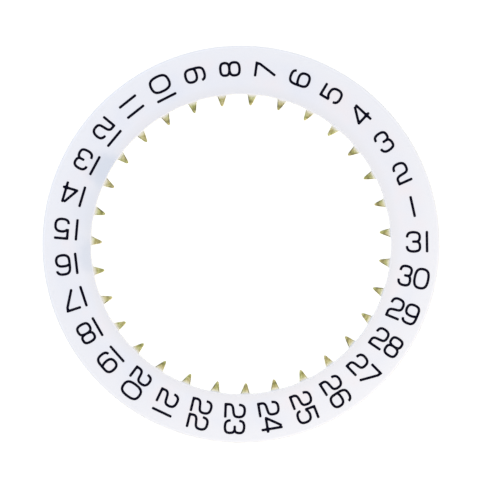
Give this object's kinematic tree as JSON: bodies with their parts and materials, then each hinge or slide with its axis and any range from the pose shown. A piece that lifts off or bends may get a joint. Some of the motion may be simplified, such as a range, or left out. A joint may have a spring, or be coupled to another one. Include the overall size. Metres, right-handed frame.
{
  "type": "watch date wheel",
  "caption": "Flat calendar ring for a watch movement: a white face printed with the dates, and pointed teeth round its inner edge.",
  "frame": {"origin": "on the wheel's axis of rotation, in the plane of its underside, where it slides on the movement's plate", "axes": "+Z along the axis of rotation, out of the printed face; +X through the middle of the date 31; the dates run anticlockwise seen from +Z"},
  "size_m": [0.023, 0.023, 0.0003],
  "materials": {
    "brass": "stamped and turned, satin, a little dull",
    "white_lacquer": "sprayed white lacquer, semi-matte",
    "black_ink": "pad-printed ink, satin"
  },
  "bodies": {
    "root": {"toothed_ring": "brass", "white_coat": "white_lacquer", "numeral_01": "black_ink", "numeral_02": "black_ink", "numeral_03": "black_ink", "numeral_04": "black_ink", "numeral_05": "black_ink", "numeral_06": "black_ink", "numeral_07": "black_ink", "numeral_08": "black_ink", "numeral_09": "black_ink", "numeral_10_tens": "black_ink", "numeral_10_units": "black_ink", "numeral_11_tens": "black_ink", "numeral_11_units": "black_ink", "numeral_12_tens": "black_ink", "numeral_12_units": "black_ink", "numeral_13_tens": "black_ink", "numeral_13_units": "black_ink", "numeral_14_tens": "black_ink", "numeral_14_units": "black_ink", "numeral_15_tens": "black_ink", "numeral_15_units": "black_ink", "numeral_16_tens": "black_ink", "numeral_16_units": "black_ink", "numeral_17_tens": "black_ink", "numeral_17_units": "black_ink", "numeral_18_tens": "black_ink", "numeral_18_units": "black_ink", "numeral_19_tens": "black_ink", "numeral_19_units": "black_ink", "numeral_20_tens": "black_ink", "numeral_20_units": "black_ink", "numeral_21_tens": "black_ink", "numeral_21_units": "black_ink", "numeral_22_tens": "black_ink", "numeral_22_units": "black_ink", "numeral_23_tens": "black_ink", "numeral_23_units": "black_ink", "numeral_24_tens": "black_ink", "numeral_24_units": "black_ink", "numeral_25_tens": "black_ink", "numeral_25_units": "black_ink", "numeral_26_tens": "black_ink", "numeral_26_units": "black_ink", "numeral_27_tens": "black_ink", "numeral_27_units": "black_ink", "numeral_28_tens": "black_ink", "numeral_28_units": "black_ink", "numeral_29_tens": "black_ink", "numeral_29_units": "black_ink", "numeral_30_tens": "black_ink", "numeral_30_units": "black_ink", "numeral_31_tens": "black_ink", "numeral_31_units": "black_ink"}
  },
  "joints": []
}
